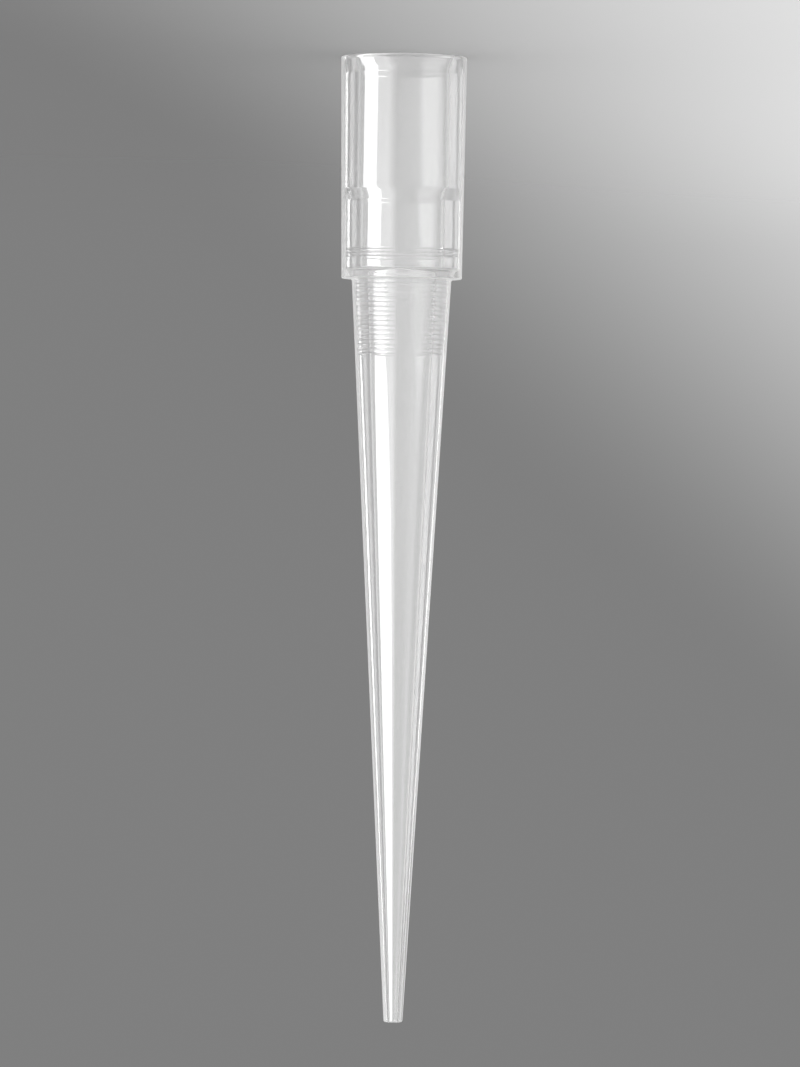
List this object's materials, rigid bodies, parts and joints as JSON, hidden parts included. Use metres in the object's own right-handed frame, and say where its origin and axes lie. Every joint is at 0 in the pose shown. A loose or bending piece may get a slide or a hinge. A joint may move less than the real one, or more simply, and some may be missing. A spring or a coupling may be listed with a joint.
{
  "type": "pipette tip",
  "caption": "Clear moulded pipette tip: a stepped socket collar, a flat shoulder, a finely ringed neck and a long cone down to a small orifice.",
  "frame": {"origin": "centre of the open rim, in the rim's plane", "axes": "+Z along the bore axis from the open rim to the orifice; the tip stands on its rim"},
  "size_m": [0.0078, 0.0078, 0.0593],
  "materials": {
    "clear_polypropylene": "clear, slightly milky moulded polypropylene with a smooth gloss surface"
  },
  "bodies": {
    "root": {"pipette_tip": "clear_polypropylene"}
  },
  "joints": []
}
